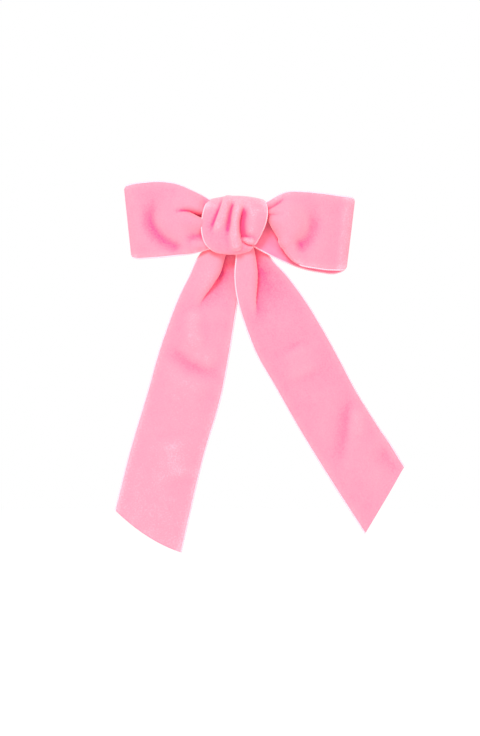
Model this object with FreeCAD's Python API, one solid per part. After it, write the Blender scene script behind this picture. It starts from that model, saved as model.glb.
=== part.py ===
"""Hair barrette: a tied velvet ribbon bow lashed to an arched snap clip.

Frame, in millimetres: +X to the wearer's side where the clasp snaps shut, +Z up, -Y outward, away
from the head. The origin is the middle of the channel that the hair lies in, between the tension
bow and the clasp arm. The clip lies along X, the bow faces -Y, and the tails hang down towards -Z.
"""

import FreeCAD
import Part
import math
import os

# ---- Clip, driving dimensions ----
plate_length = 80.0          # over the two ends of the arched plate
plate_width = 9.0
plate_thick = 0.7
plate_rise = 5.4             # of the plate's two ends over its middle
plate_corner = 2.5
hair_gap = 6.0               # channel between tension bow and clasp arm, at its middle
flex_room = 4.0              # free travel behind the tension bow, at its middle
pin_inset = 3.5              # hinge pin, in from the end of the plate
pin_height = 3.4             # hinge pin, from the middle of the channel towards the head
pin_radius = 0.85
pin_head_radius = 1.35
pin_head_thick = 0.5
running_gap = 0.05           # radial clearance of the knuckles on the pin
side_gap = 0.2               # clearance between knuckles, and between knuckle and ear
knuckle_wall = 0.7
ear_thick = 0.7
ear_margin = 1.4             # metal round the pin in each ear
arm_width = 6.4
arm_thick = 0.7
tongue_width = 5.8
tongue_tip_inset = 3.6       # tip of the clasp arm, in from the end of the plate
rib_width = 1.6              # stiffening rib pressed along the clasp arm
rib_height = 0.3
rib_inset = 6.0              # its ends, in from the hinge pin and from the tongue
bow_spring_width = 5.0
bow_spring_thick = 0.5
centre_knuckle_width = 3.2   # the tension bow's knuckle, between the arm's two
toe_inset = 10.6             # toe of the tension bow, in from the end of the plate
toe_bend = 1.2               # inner radius of that toe's curl
touch_gap = 0.1              # where two moving pieces nearly touch
sew_hole_radius = 0.9
sew_hole_x = 27.0

# ---- Catch, driving dimensions ----
catch_thick = 0.6            # of the spring steel
catch_base_length = 8.0
catch_wall_gap = 0.4         # from the tongue's edge to the wall of a wing
root_length = 2.4            # the part of each leg that stays with the base
root_height = 3.6            # of that part, above the end of the plate
wing_reach = 6.2             # from the flexing line to the wing's inner end
hook_length = 2.0
hook_bite = 0.45             # how far a hook reaches over the tongue
hook_thick = 0.6
hook_land = 0.2              # square edge under the hook's ramp
tab_length = 7.2
tab_flare = 2.9
tab_corner = 1.6
rivet_radius = 1.0
rivet_head_radius = 1.7
rivet_head_thick = 0.5

# ---- Bow, driving dimensions ----
ribbon_width = 38.0
ribbon_thick = 1.2
lining_thick = 0.6
lining_inset = 2.0           # end of the lining, in from the end of the plate
thread_diameter = 0.5
lashing_turns = 4
lashing_pitch = 3.0
knot_width = 34.0            # along X
knot_height = 29.6
knot_depth = 16.0
knot_corner = 6.0
mouth_room = 1.2             # round the tails, where they leave under the knot
neck_depth = 8.4             # of a loop where it enters the knot
neck_height = 26.0
loop_rest = 1.2              # how far the back of a loop settles behind the face of the lining
fold_wall = 1.5              # wall at the folded end, as a share of the ribbon's thickness
loop_corner = 1.8            # round corners of the folded end, seen from the front
tail_top_width = 15.0        # gathered, where it enters the knot
tail_top_gap = 0.4           # between the two tails there
tail_flare_length = 48.0     # down to where the ribbon lies at its full width
tail_cupping = 0.97          # share of the ribbon's width that a gently cupped tail spans

# Each loop: reach from the middle of the knot, droop of its axis, and tilt of the folded end.
loops = {
    "loop_left": {"side": -1, "reach": 57.2, "droop": 2.6, "end_tilt": 6.0, "raise": 2.6, "shoulder": 17.0},
    "loop_right": {"side": 1, "reach": 61.8, "droop": 7.2, "end_tilt": 8.0, "raise": -0.4, "shoulder": 12.0},
}
# Each tail: its direction from straight down at the knot and at the end, its length, the slant of
# the cut, how far in front of the other it starts, and its distance in front of the origin down it.
tails = {
    "tail_left": {"side": -1, "start": 15.4, "end": 13.8, "length": 150.5, "slant": 17.0, "start_y": -16.6,
                  "drift": ((30, -14.4), (65, -12.2), (105, -10.4), (172, -9.0))},
    "tail_right": {"side": 1, "start": 23.4, "end": 33.6, "length": 148.0, "slant": 29.0, "start_y": -18.6,
                   "drift": ((30, -16.6), (65, -13.4), (105, -10.2), (165, -9.2))},
}

# ---- Places worked out from those ----
half_plate = plate_length / 2
plate_radius = (half_plate**2 + plate_rise**2) / (2 * plate_rise)  # of the face under the bow
bow_spring_back = -hair_gap / 2 - bow_spring_thick
plate_back = bow_spring_back - flex_room
plate_front = plate_back - plate_thick
plate_centre = plate_front + plate_radius
lining_front = plate_front - lining_thick
knot_back = lining_front - thread_diameter
knot_centre = knot_back - knot_depth / 2
pin_x = -half_plate + pin_inset
knuckle_bore = pin_radius + running_gap
knuckle_radius = knuckle_bore + knuckle_wall
arm_inner = hair_gap / 2
flex_x = half_plate - root_length / 2
far = 400.0                  # longer than anything here, for cutting tools


def vec(x, y, z=0.0):
    return FreeCAD.Vector(x, y, z)


def sagitta_radius(half_chord, sagitta):
    """Radius of the arc that rises by sagitta over half its chord."""
    return (half_chord**2 + sagitta**2) / (2 * sagitta)


def arc_y(radius, middle, x):
    """Y, at x, of an arc whose lowest point is (0, middle) and that rises towards +Y."""
    return middle + radius - math.sqrt(radius**2 - x**2)


def band(radius, middle, thick, x_start, x_end, width):
    """A strip bent about Z. Its -Y face has that radius and lies at middle where X is 0."""
    def point(x, r):
        return vec(x, middle + radius - math.sqrt(r**2 - x**2), -width / 2)

    x_middle = (x_start + x_end) / 2
    outer = [point(x, radius) for x in (x_start, x_middle, x_end)]
    inner = [point(x, radius - thick) for x in (x_end, x_middle, x_start)]
    edges = [
        Part.Arc(*outer).toShape(),
        Part.makeLine(outer[2], inner[0]),
        Part.Arc(*inner).toShape(),
        Part.makeLine(inner[2], outer[0]),
    ]
    return Part.Face(Part.Wire(edges)).extrude(vec(0, 0, width))


def box(x, y, z):
    """A block from three (low, high) pairs."""
    return Part.makeBox(x[1] - x[0], y[1] - y[0], z[1] - z[0], vec(x[0], y[0], z[0]))


def rod(radius, x, y, z_start, z_end):
    """A round bar along Z."""
    return Part.makeCylinder(radius, z_end - z_start, vec(x, y, z_start))


def peg(radius, x, z, y_start, y_end):
    """A round bar along Y."""
    return Part.makeCylinder(radius, y_end - y_start, vec(x, y_start, z), vec(0, 1, 0))


def front_outline(points, corner=0.0):
    """A tool that keeps what lies behind a closed outline drawn on the front, as (x, z) corners."""
    wire = Part.makePolygon([vec(x, -far, z) for x, z in [*points, points[0]]])
    tool = Part.Face(wire).extrude(vec(0, 2 * far, 0))
    if corner:
        upright = [e for e in tool.Edges if abs(e.tangentAt(e.FirstParameter).y) > 0.99]
        tool = tool.makeFillet(corner, upright)
    return tool


def straight_outline(x_start, x_end, width, corner):
    half = width / 2
    return front_outline([(x_start, -half), (x_end, -half), (x_end, half), (x_start, half)], corner)


def mirrored_pair(solid):
    """The solid and its mirror image through the plane Z = 0."""
    return [solid, solid.mirror(vec(0, 0, 0), vec(0, 0, 1))]


# ---- Clip ----

def plate_disc():
    """Everything on the head side of the face that the bow sits on."""
    return rod(plate_radius, 0, plate_centre, -far / 2, far / 2)


def sewing_holes():
    return [peg(sew_hole_radius, side * sew_hole_x, 0, -far, far) for side in (-1, 1)]


def clip_plate():
    strip = band(plate_radius, plate_front, plate_thick, -half_plate, half_plate, plate_width)
    strip = strip.common(straight_outline(-half_plate, half_plate, plate_width, plate_corner))
    ear_radius = pin_radius + ear_margin
    ear_z = (plate_width / 2 - ear_thick, plate_width / 2)
    foot = arc_y(plate_radius - plate_thick, plate_back, pin_x + ear_radius) - plate_thick
    ear = box((pin_x - ear_radius, pin_x + ear_radius), (foot, pin_height), ear_z)
    ear = ear.fuse(rod(ear_radius, pin_x, pin_height, *ear_z)).common(plate_disc())
    plate = strip.fuse(mirrored_pair(ear))
    pin_hole = rod(pin_radius, pin_x, pin_height, -plate_width, plate_width)
    return plate.cut([pin_hole, catch_rivet(), *sewing_holes()]).removeSplitter()


def hinge_pin():
    end = plate_width / 2
    shank = rod(pin_radius, pin_x, pin_height, -end, end)
    head = rod(pin_head_radius, pin_x, pin_height, end, end + pin_head_thick)
    rim = [e for e in head.Edges if e.BoundBox.ZMin > end + pin_head_thick / 2 and e.Length > pin_radius]
    head = head.makeFillet(pin_head_thick * 0.6, rim)
    return shank.fuse(mirrored_pair(head)).removeSplitter()


def knuckle(z_start, z_end):
    """One curled eye on the hinge pin, without its bore."""
    return rod(knuckle_radius, pin_x, pin_height, z_start, z_end)


def pin_bore():
    return rod(knuckle_bore, pin_x, pin_height, -plate_width, plate_width)


def arm_radius():
    """The arm's inner face runs from the top of the pin's bore down to the edge of the channel."""
    return sagitta_radius(-pin_x, pin_height + knuckle_bore - arm_inner)


def clasp_arm():
    tip = half_plate - tongue_tip_inset
    narrow_x = flex_x - wing_reach - side_gap
    ear_inner = plate_width / 2 - ear_thick
    half_centre = centre_knuckle_width / 2
    strip = band(arm_radius(), arm_inner, arm_thick, pin_x, tip, arm_width)
    wide = straight_outline(pin_x - knuckle_radius, narrow_x, arm_width, 0)
    tongue = straight_outline(narrow_x - tongue_width, tip, tongue_width, tongue_width * 0.3)
    strip = strip.common(wide.fuse(tongue))
    slot_end = pin_x + knuckle_radius + 2 * side_gap
    slot = box((-far, slot_end), (-far, far), (-half_centre - side_gap, half_centre + side_gap))
    eyes = mirrored_pair(knuckle(half_centre + side_gap, min(arm_width / 2, ear_inner - side_gap)))
    rib = band(arm_radius() - arm_thick + rib_height, arm_inner + arm_thick - rib_height, 2 * rib_height,
               pin_x + rib_inset, narrow_x - rib_inset, rib_width)
    return strip.cut(slot).fuse([*eyes, rib]).cut(pin_bore()).removeSplitter()


def bow_spring_radius():
    """The tension bow's back runs from the underside of its knuckle down to the flexing room."""
    return sagitta_radius(-pin_x, pin_height - knuckle_radius - bow_spring_back)


def tension_bow():
    """The arched strip that the hair presses back. Its toe hangs clear, so that it can rock."""
    radius = bow_spring_radius()
    end = half_plate - toe_inset
    half = bow_spring_width / 2
    outward = (radius + toe_bend) / radius
    toe_x = end * outward
    toe_y = bow_spring_back + radius - math.sqrt(radius**2 - end**2) * outward
    strip = band(radius, bow_spring_back, bow_spring_thick, pin_x, end, bow_spring_width)
    ring = rod(toe_bend + bow_spring_thick, toe_x, toe_y, -half, half)
    ring = ring.cut(rod(toe_bend, toe_x, toe_y, -half, half))
    toe = ring.common(box((end, far), (toe_y, far), (-half, half)))
    neck_end = pin_x + knuckle_radius + 2 * side_gap
    half_eye = centre_knuckle_width / 2
    notch = box((-far, neck_end), (-far, far), (half_eye, plate_width))
    spring = strip.cut(mirrored_pair(notch)).fuse([toe, knuckle(-half_eye, half_eye)])
    return spring.cut(pin_bore()).removeSplitter()


# ---- Catch ----

def wall_inner():
    return tongue_width / 2 + catch_wall_gap


def rivet_x():
    return half_plate - catch_base_length * 0.58


def catch_face():
    """Radius and middle of the catch base's hair side, which lies on the plate's back."""
    return plate_radius - plate_thick - catch_thick, plate_back + catch_thick


def catch_rivet():
    """A rivet square to the plate, flush with the face under the lining."""
    radius, middle = catch_face()
    x = rivet_x()
    seat = vec(x, arc_y(radius, middle, x), 0)
    inward = (vec(0, plate_centre, 0) - seat).normalize()
    shank = Part.makeCylinder(rivet_radius, 4 * plate_thick, seat - inward * 3 * plate_thick, inward)
    head = Part.makeCylinder(rivet_head_radius, rivet_head_thick, seat, inward)
    head = head.fuse(Part.makeCylinder(rivet_head_radius, catch_thick, seat - inward * catch_thick, inward))
    inner_side = rod(radius, 0, plate_centre, -far / 2, far / 2)
    head = head.common(inner_side)
    return shank.common(plate_disc()).fuse(head).removeSplitter()


def root_top():
    return arc_y(plate_radius - plate_thick, plate_back, half_plate) + root_height


def catch_base():
    outer = wall_inner() + catch_thick
    start = half_plate - catch_base_length
    base = band(plate_radius - plate_thick, plate_back, catch_thick, start, half_plate, 2 * outer)
    foot = arc_y(plate_radius - plate_thick, plate_back, half_plate - root_length)
    leg = box((half_plate - root_length, half_plate), (foot, root_top()), (wall_inner(), outer))
    inside = rod(plate_radius - plate_thick, 0, plate_centre, -far / 2, far / 2)
    return base.fuse(mirrored_pair(leg.common(inside))).cut(catch_rivet()).removeSplitter()


def catch_wing():
    """The upper wing: wall, hook over the tongue, and flared pinch tab. It flexes about flex_x."""
    low = root_top() + running_gap
    inner, outer = wall_inner(), wall_inner() + catch_thick
    start = flex_x - wing_reach
    hook_low = arc_y(arm_radius(), arm_inner, start + hook_length) + arm_thick + touch_gap
    top = hook_low + hook_thick
    plan = [
        (start, inner), (half_plate, inner), (half_plate + tab_length, inner + tab_flare),
        (half_plate + tab_length, outer + tab_flare), (half_plate, outer), (start, outer),
    ]
    block = box((start, half_plate + tab_length), (low, top), (-far, far))
    tip = [e for e in block.Edges if e.BoundBox.ZLength > far and e.BoundBox.XMin > half_plate]
    wing = front_outline(plan).common(block.makeFillet(tab_corner, tip))
    bite = tongue_width / 2 - hook_bite
    section = [(hook_low, inner), (hook_low, bite), (hook_low + hook_land, bite), (top, inner), (hook_low, inner)]
    hook = Part.Face(Part.makePolygon([vec(start, y, z) for y, z in section])).extrude(vec(hook_length, 0, 0))
    return wing.fuse(hook).removeSplitter()


# ---- Fastening of the bow ----

def plate_lining():
    end = half_plate - lining_inset
    strip = band(plate_radius + lining_thick, lining_front, lining_thick, -end, end, plate_width)
    strip = strip.common(straight_outline(-end, end, plate_width, plate_corner))
    return strip.removeSplitter()


def lashing_thread():
    """Turns of thread round plate and lining, under the back of the knot."""
    turns = []
    half = plate_width / 2
    for i in range(lashing_turns):
        x = (i - (lashing_turns - 1) / 2) * lashing_pitch
        reach = (x - thread_diameter / 2, x + thread_diameter / 2)
        flat_front = arc_y(plate_radius + lining_thick, lining_front, 0)
        flat_back = arc_y(plate_radius - plate_thick, plate_back, abs(x) + thread_diameter)
        outside = box(reach, (knot_back, flat_back + thread_diameter),
                      (-half - thread_diameter, half + thread_diameter))
        outside = outside.makeFillet(thread_diameter, [e for e in outside.Edges
                                                       if e.BoundBox.XLength > thread_diameter / 2])
        inside = box(reach, (flat_front, flat_back), (-half, half))
        turns.append(outside.cut(inside))
    return Part.makeCompound(turns)


# ---- Bow ----

def spline(points):
    curve = Part.BSplineCurve()
    curve.interpolate(points)
    return curve


def knot_section(inset):
    """The knot's rounded section, as a bar along X, smaller all round by inset."""
    half_y, half_z = knot_depth / 2 - inset, knot_height / 2 - inset
    bar = box((-knot_width / 2, knot_width / 2), (knot_centre - half_y, knot_centre + half_y), (-half_z, half_z))
    along = [e for e in bar.Edges if e.BoundBox.XLength > knot_width / 2]
    return bar.makeFillet(knot_corner - inset, along)


def knot_core():
    return knot_section(ribbon_thick)


def knot_wrap():
    """One turn of ribbon, open underneath where the tails leave."""
    shell = knot_section(0).cut(knot_section(ribbon_thick))
    half = tail_top_width + tail_top_gap / 2 + mouth_room
    depths = [t["start_y"] for t in tails.values()]
    opening = box((-half, half), (min(depths) - mouth_room, max(depths) + ribbon_thick + mouth_room),
                  (-knot_height, 0))
    return shell.cut(opening)


def loop_section(side, reach, inset):
    """A loop seen from above, smaller all round by inset: a flat end at the neck, front, fold, back."""
    start, neck = knot_width / 2 + inset, neck_depth / 2
    front = knot_centre - neck + inset
    span = reach - inset * fold_wall - start
    at_neck = knot_centre + neck - inset
    rest = lining_front + loop_rest - inset
    rise = ((0.0, front), (0.16, front - 2.0), (0.42, front - 1.4), (0.70, front + 3.2), (0.93, front + 8.2))
    fold = (1.0, (front + rest) / 2 + 5.4)
    fall = ((0.93, rest - 0.6), (0.70, rest), (0.42, rest - 1.0), (0.16, rest - 2.8), (0.0, at_neck))
    points = [vec(side * (start + share * span), y) for share, y in [*rise, fold, *fall]]
    edges = [spline(points).toShape(), Part.makeLine(points[-1], points[0])]
    return Part.Face(Part.Wire(edges))


def ribbon_loop(name):
    plan = loops[name]
    side, reach = plan["side"], plan["reach"]
    ring = loop_section(side, reach, 0).cut(loop_section(side, reach, ribbon_thick))
    ring = ring.extrude(vec(0, 0, 4 * ribbon_width))
    ring.translate(vec(0, 0, -2 * ribbon_width))
    return ring.common(loop_outline(plan))


def loop_outline(plan):
    """The loop seen from the front: neck, curved shoulders, then straight edges to the folded end."""
    side = plan["side"]
    start = side * knot_width / 2
    half = ribbon_width / 2
    droop = math.tan(math.radians(plan["droop"]))
    tilt = math.tan(math.radians(plan["end_tilt"]))

    def edge(x, up):
        return plan["raise"] - (abs(x) - abs(start) - plan["shoulder"]) * droop + up * half

    shoulder = start + side * plan["shoulder"]
    reach = side * plan["reach"]
    top_end = vec(reach, -far, edge(reach, 1))
    foot_x = reach - side * tilt * ribbon_width
    low_end = vec(foot_x, -far, edge(foot_x, -1))
    sides = []
    for up, end in ((1, top_end), (-1, low_end)):
        neck = vec(start, -far, up * neck_height / 2)
        turn = vec(shoulder, -far, edge(shoulder, up))
        half_way = vec((start + shoulder) / 2, -far, (neck.z + turn.z) / 2)
        curve = Part.BSplineCurve()
        slope = vec(side, 0, -droop)
        curve.interpolate([neck, half_way, turn], InitialTangent=vec(side, 0, 0.2 * up), FinalTangent=slope)
        sides.append((neck, curve.toShape(), turn, end))
    (neck_a, curve_a, turn_a, end_a), (neck_b, curve_b, turn_b, end_b) = sides
    edges = [curve_a, Part.makeLine(turn_a, end_a), Part.makeLine(end_a, end_b),
             Part.makeLine(end_b, turn_b), curve_b, Part.makeLine(neck_b, neck_a)]
    tool = Part.Face(Part.Wire(Part.__sortEdges__(edges))).extrude(vec(0, 2 * far, 0))
    corners = [e for e in tool.Edges if e.BoundBox.YLength > far
               and min(abs(e.BoundBox.XMin - p.x) + abs(e.BoundBox.ZMin - p.z) for p in (end_a, end_b)) < 0.01]
    return tool.makeFillet(loop_corner, corners)


def tail_width(share):
    """Width of a tail at a share of its flare, from gathered to flat."""
    share = min(share, 1.0)
    smooth = share * share * (3 - 2 * share)
    return tail_top_width + (ribbon_width * tail_cupping - tail_top_width) * (0.5 * share + 0.5 * smooth)


def tail_outline(plan, steps=12):
    """A tail seen from the front: gathered top, flaring edges, slanted cut."""
    side, length = plan["side"], plan["length"]
    x = side * (tail_top_width + tail_top_gap) / 2
    z = -knot_height / 2 + ribbon_thick
    step = length / steps
    slant = math.tan(math.radians(plan["slant"]))
    outer, inner = [], []
    for i in range(steps + 1):
        lean = math.radians(plan["start"] + (plan["end"] - plan["start"]) * i / steps)
        half = tail_width(i * step / tail_flare_length) / 2
        across = vec(side * math.cos(lean), 0, math.sin(lean)) if i else vec(side, 0, 0)
        along = vec(side * math.sin(lean), 0, -math.cos(lean))
        cut = along * (slant * half) if i == steps else vec(0, 0, 0)
        middle = vec(x, -far, z)
        outer.append(middle + across * half - cut)
        inner.append(middle - across * half + cut)
        x += along.x * step
        z += along.z * step
    edges = [spline(outer).toShape(), Part.makeLine(outer[-1], inner[-1]),
             spline(inner[::-1]).toShape(), Part.makeLine(inner[0], outer[0])]
    return Part.Face(Part.Wire(edges)).extrude(vec(0, 2 * far, 0))


def ribbon_tail(name):
    plan = tails[name]
    top = -knot_height / 2 + ribbon_thick
    points = [vec(-far / 2, plan["start_y"], top)]
    points += [vec(-far / 2, y, top - down) for down, y in plan["drift"]]
    front = spline(points)
    back = [p + vec(0, ribbon_thick, 0) for p in points]
    edges = [front.toShape(), Part.makeLine(points[-1], back[-1]),
             spline(back[::-1]).toShape(), Part.makeLine(back[0], points[0])]
    sheet = Part.Face(Part.Wire(edges)).extrude(vec(far, 0, 0))
    return sheet.common(tail_outline(plan))


def build():
    """Every node's shape, by name."""
    upper, lower = mirrored_pair(catch_wing())
    shapes = {
        "clip_plate": clip_plate(),
        "hinge_pin": hinge_pin(),
        "clasp_arm": clasp_arm(),
        "tension_bow": tension_bow(),
        "catch_base": catch_base(),
        "catch_rivet": catch_rivet(),
        "catch_wing_upper": upper,
        "catch_wing_lower": lower,
        "plate_lining": plate_lining(),
        "lashing_thread": lashing_thread(),
        "knot_core": knot_core(),
        "knot_wrap": knot_wrap(),
    }
    for name in loops:
        shapes[name] = ribbon_loop(name)
    for name in tails:
        shapes[name] = ribbon_tail(name)
    return shapes


os.makedirs("parts", exist_ok=True)
for node, shape in build().items():
    shape.exportStep(os.path.join("parts", node + ".step"))
    size = shape.BoundBox
    print(f"{node:18s} {len(shape.Solids)} solid, {shape.Volume:9.2f} mm3, valid {shape.isValid()}, "
          f"x {size.XMin:.1f} {size.XMax:.1f}, y {size.YMin:.1f} {size.YMax:.1f}, "
          f"z {size.ZMin:.1f} {size.ZMax:.1f}")
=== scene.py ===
# %% [markdown]
# # A velvet bow barrette
# Everything soft is made here, in the same place as its plain CAD solid.

# %% The frame
import math

import bpy
import numpy as np
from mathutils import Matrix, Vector


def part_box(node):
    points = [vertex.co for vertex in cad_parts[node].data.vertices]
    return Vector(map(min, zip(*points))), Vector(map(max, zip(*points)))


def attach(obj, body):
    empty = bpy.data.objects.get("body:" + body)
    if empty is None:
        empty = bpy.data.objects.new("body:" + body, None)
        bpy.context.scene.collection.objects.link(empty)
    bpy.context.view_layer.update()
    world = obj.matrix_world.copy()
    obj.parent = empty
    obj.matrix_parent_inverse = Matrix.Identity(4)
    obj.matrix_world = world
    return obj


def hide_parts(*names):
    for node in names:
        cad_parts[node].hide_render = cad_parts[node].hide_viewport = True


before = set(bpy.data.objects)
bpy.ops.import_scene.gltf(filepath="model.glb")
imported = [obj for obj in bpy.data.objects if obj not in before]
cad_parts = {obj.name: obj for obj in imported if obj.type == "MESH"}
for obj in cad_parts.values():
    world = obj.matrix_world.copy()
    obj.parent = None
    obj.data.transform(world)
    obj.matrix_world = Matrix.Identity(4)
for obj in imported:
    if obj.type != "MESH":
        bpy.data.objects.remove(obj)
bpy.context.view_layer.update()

# %% [markdown]
# ## Colours and nodes
# Colours are written as the hex values a screen shows. Blender's shaders want linear light, so one
# function turns them. A second small function adds a shader node, sets its values and joins its
# inputs. With these two, a material reads as a short recipe. A colour ramp is the one node that
# takes a list as well: its stops, each a place from 0 to 1 and a colour.

# %% Colour and node helpers
MM = 0.001


def linear(hex_colour):
    """A screen colour such as "ff9ebc" as linear RGBA."""
    channels = [int(hex_colour[i:i + 2], 16) / 255 for i in (0, 2, 4)]
    light = [c / 12.92 if c <= 0.04045 else ((c + 0.055) / 1.055) ** 2.4 for c in channels]
    return (*light, 1.0)


def add(tree, kind, inputs=None, stops=(), **settings):
    """Adds a node. Inputs are values or other nodes' outputs, settings are the node's own choices."""
    node = tree.nodes.new("ShaderNode" + kind)
    for key, value in settings.items():
        setattr(node, key, value)
    for key, value in (inputs or {}).items():
        if isinstance(value, bpy.types.NodeSocket):
            tree.links.new(value, node.inputs[key])
        else:
            node.inputs[key].default_value = value
    for place, _ in stops[2:]:
        node.color_ramp.elements.new(place)
    if stops:
        for element, (place, colour) in zip(node.color_ramp.elements, stops):
            element.position = place
            element.color = linear(colour)
    return node


def new_material(name):
    material = bpy.data.materials.new(name)
    material.use_nodes = True
    material.node_tree.nodes.clear()
    return material, material.node_tree


# %% [markdown]
# ## Velvet
# Velvet is a woven ribbon with a short standing pile. The pile swallows light that comes straight
# at it and catches light at its tips, so ridges and edges look paler and deep creases look
# strongly coloured. Here that light and shade is painted into the colour. Each mesh will carry a
# value called `fold`: near 0 deep in a crease, about a half where the cloth is level, and up to 1
# on a ridge or along an edge. It picks the pile's colour from a ramp that runs from a painted
# crease shade to a painted highlight, which is how one material can show both. The Principled
# shader's sheen adds the pale bloom of the tips. A tuft of pile is about 0.1 mm, too fine to show,
# so its noise is drawn at 0.8 mm. A slower noise is the nap, brushed one way or the other by
# fingers every 7 mm or so.
# Hair strands could make the pile too, but at this size they would cost much and look the same.

# %% Velvet material
PILE_MM = 0.8
NAP_MM = 7.0
NAP_SHIFT = 0.10
PILE_SHIFT = 0.26
# Pile colours by fold: the dark stops are painted crease shade, the pale ones a painted highlight on
# ridges and along the edges.
VELVET_PAINTED_SHADE_RAMP = [(0.0, "c83a6c"), (0.25, "e75a76"), (0.5, "f36e82"), (0.75, "f67787"),
                 (1.0, "fa8d9b")]


def per_metre(size_mm):
    """Noise scale that gives features of about this size, for coordinates in metres."""
    return 1 / (size_mm * MM)


def per_wave(pitch_mm):
    """Wave scale for this pitch. A wave texture repeats every pi/10 of its coordinate."""
    return per_metre(pitch_mm) * math.pi / 10


def make_velvet():
    material, tree = new_material("velvet_pile_pink")
    place = add(tree, "TexCoord").outputs["Object"]
    # fold carries the painted shade and highlight; the nap and pile noise add the cloth's own uneven
    # colour to it.
    fold = add(tree, "Attribute", attribute_name="fold").outputs["Fac"]
    nap = add(tree, "TexNoise", {"Vector": place, "Scale": per_metre(NAP_MM), "Detail": 3.0})
    pile = add(tree, "TexNoise", {"Vector": place, "Scale": per_metre(PILE_MM), "Detail": 2.0})
    brushed = add(tree, "MapRange", {"Value": nap.outputs["Fac"], "To Min": -NAP_SHIFT,
                                     "To Max": NAP_SHIFT})
    tips = add(tree, "MapRange", {"Value": pile.outputs["Fac"], "To Min": -PILE_SHIFT,
                                  "To Max": PILE_SHIFT})
    uneven = add(tree, "Math", {0: brushed.outputs[0], 1: tips.outputs[0]}, operation="ADD")
    shade = add(tree, "Math", {0: fold, 1: uneven.outputs[0]}, operation="ADD")
    colour = add(tree, "ValToRGB", {"Fac": shade.outputs[0]}, VELVET_PAINTED_SHADE_RAMP)
    rough = add(tree, "MapRange", {"Value": pile.outputs["Fac"], "To Min": 0.85, "To Max": 1.0})
    tufts = add(tree, "Bump", {"Height": pile.outputs["Fac"], "Strength": 0.5,
                               "Distance": 0.3 * MM})
    shader = add(tree, "BsdfPrincipled", {
        "Base Color": colour.outputs["Color"], "Roughness": rough.outputs[0],
        "Normal": tufts.outputs[0],
        "Sheen Weight": 0.5, "Sheen Roughness": 0.5, "Sheen Tint": linear("ffe6ee"),
        "Specular IOR Level": 0.15})
    add(tree, "OutputMaterial", {"Surface": shader.outputs[0]})
    return material


velvet = make_velvet()
print("velvet nodes:", len(velvet.node_tree.nodes))

# %% [markdown]
# ## The ribbon's other faces
# The back of velvet ribbon is a plain satin weave: smooth, a little glossy, with fine threads
# across it. Its two edges are selvedges, woven without pile from paler yarn, with tiny loops along
# the rim. These patterns follow the ribbon, so they read a UV map that is laid out along it and
# across it. The threads are about 0.1 mm apart, too fine to show, and are drawn at 0.5 mm.

# %% Satin back and woven selvedge
RIB_MM = 0.5


def make_ribbed(name, low, high, roughness, depth_mm):
    """A cloth with ribs of thread. Its UV map is in metres: x across the ribbon, y along it."""
    material, tree = new_material(name)
    place = add(tree, "UVMap", uv_map="ribbon").outputs["UV"]
    ribs = add(tree, "TexWave", {"Vector": place, "Scale": per_wave(RIB_MM), "Distortion": 0.4},
               bands_direction="Y")
    cloud = add(tree, "TexNoise", {"Vector": place, "Scale": per_metre(4.0), "Detail": 3.0})
    both = add(tree, "Math", {0: ribs.outputs["Fac"], 1: cloud.outputs["Fac"]},
               operation="MULTIPLY")
    colour = add(tree, "ValToRGB", {"Fac": both.outputs[0]}, [(0.05, low), (0.55, high)])
    rough = add(tree, "MapRange", {"Value": cloud.outputs["Fac"], "To Min": roughness - 0.08,
                                   "To Max": roughness + 0.08})
    threads = add(tree, "Bump", {"Height": ribs.outputs["Fac"], "Strength": 0.5,
                                 "Distance": depth_mm * MM})
    shader = add(tree, "BsdfPrincipled", {
        "Base Color": colour.outputs["Color"], "Roughness": rough.outputs[0],
        "Normal": threads.outputs[0], "Sheen Weight": 0.2, "Specular IOR Level": 0.35})
    add(tree, "OutputMaterial", {"Surface": shader.outputs[0]})
    return material


satin = make_ribbed("satin_woven_back", "e25c7c", "ee7a93", 0.6, 0.06)
selvedge = make_ribbed("woven_selvedge", "f59dac", "fbb0bc", 0.7, 0.12)
print("cloth materials:", satin.name, selvedge.name)

# %% [markdown]
# ## Smooth lines
# A ribbon is a strip, so two things describe it: the lines of its two edges, and what happens
# between them. `through` draws a smooth line through a few points, so a long curve needs only a
# few numbers. `smooth_step` goes gently from 0 to 1 and is how anything here fades in or out.

# %% Lines
def through(points, shares):
    """Points on a smooth line through the given ones, at shares of its length."""
    p = np.asarray(points, float)
    gaps = np.linalg.norm(np.diff(p, axis=0), axis=1)
    at = np.concatenate([[0.0], np.cumsum(gaps)]) / gaps.sum()
    slope = np.gradient(p, at, axis=0)
    i = np.clip(np.searchsorted(at, shares, side="right") - 1, 0, len(p) - 2)
    width = (at[i + 1] - at[i])[:, None]
    u = (np.asarray(shares) - at[i])[:, None] / width
    start, end = p[i], p[i + 1]
    return ((2 * u**3 - 3 * u**2 + 1) * start + (u**3 - 2 * u**2 + u) * width * slope[i]
            + (3 * u**2 - 2 * u**3) * end + (u**3 - u**2) * width * slope[i + 1])


def smooth_step(x):
    x = np.clip(x, 0.0, 1.0)
    return x * x * (3 - 2 * x)


def arc_lengths(line):
    steps = np.linalg.norm(np.diff(line, axis=0), axis=1)
    return np.concatenate([[0.0], np.cumsum(steps)])


print("a line through 3 points, length mm:",
      arc_lengths(through([(0, 0), (10, 4), (20, 0)], np.linspace(0, 1, 50)))[-1].round(2))

# %% [markdown]
# ## One fold
# A fold in cloth is a ridge or a crease along a line, often soft on one side and sharp on the
# other. Here a fold is five things: its line of (x, z) points seen from the front, its height in
# millimetres (below 0 for a crease), how far it spreads to the left and to the right of the line,
# and the shares of its length over which its head and its foot fade. Lifting the mesh this way
# keeps every fold editable, which sculpting or a cloth simulation wouldn't.

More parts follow.
